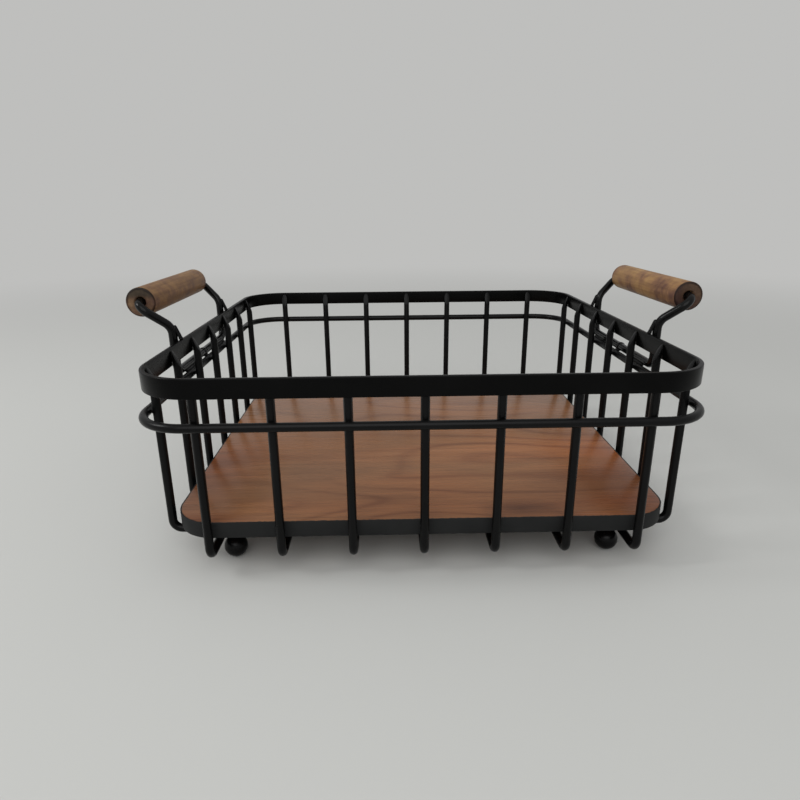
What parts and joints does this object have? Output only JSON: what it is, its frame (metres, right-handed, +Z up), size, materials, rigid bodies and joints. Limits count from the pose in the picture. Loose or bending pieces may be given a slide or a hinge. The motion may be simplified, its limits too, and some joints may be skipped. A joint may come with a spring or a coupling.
{
  "type": "kitchen basket",
  "caption": "Square black wire basket with a flat-bar rim, a wood-faced base board, ball feet and side handles with turning wooden grips.",
  "frame": {"origin": "on the table, under the middle of the basket", "axes": "+X to the right, from one handle to the other; +Y to the back; +Z up"},
  "size_m": [0.337, 0.284, 0.139],
  "materials": {
    "black_steel": "satin black powder coat",
    "walnut_board": "satin, grain from left to right",
    "black_edging": "matte black",
    "screw_steel": "zinc plated",
    "grip_wood": "oiled, worn"
  },
  "bodies": {
    "basket": {"rim_band": "black_steel", "girdle_ring": "black_steel", "long_wire_1": "black_steel", "long_wire_2": "black_steel", "long_wire_3": "black_steel", "long_wire_4": "black_steel", "long_wire_5": "black_steel", "long_wire_6": "black_steel", "long_wire_7": "black_steel", "cross_wire_1": "black_steel", "cross_wire_2": "black_steel", "cross_wire_3": "black_steel", "cross_wire_4": "black_steel", "cross_wire_5": "black_steel", "cross_wire_6": "black_steel", "cross_wire_7": "black_steel", "base_board": "walnut_board", "board_edging": "black_edging", "tab_front_left": "black_steel", "tab_front_right": "black_steel", "tab_back_left": "black_steel", "tab_back_right": "black_steel", "board_screws": "screw_steel", "foot_front_left": "black_steel", "foot_front_right": "black_steel", "foot_back_left": "black_steel", "foot_back_right": "black_steel", "left_handle_wire": "black_steel", "right_handle_wire": "black_steel", "left_front_strut": "black_steel", "left_back_strut": "black_steel", "right_front_strut": "black_steel", "right_back_strut": "black_steel"},
    "left_grip": {"left_grip": "grip_wood"},
    "right_grip": {"right_grip": "grip_wood"}
  },
  "joints": [
    {"name": "left_grip_spin", "type": "hinge", "parent": "basket", "child": "left_grip", "pos_m": [-0.16, -0.003, 0.1305], "axis": [0, 1, 0], "continuous": true},
    {"name": "right_grip_spin", "type": "hinge", "parent": "basket", "child": "right_grip", "pos_m": [0.16, -0.003, 0.1305], "axis": [0, 1, 0], "continuous": true}
  ]
}
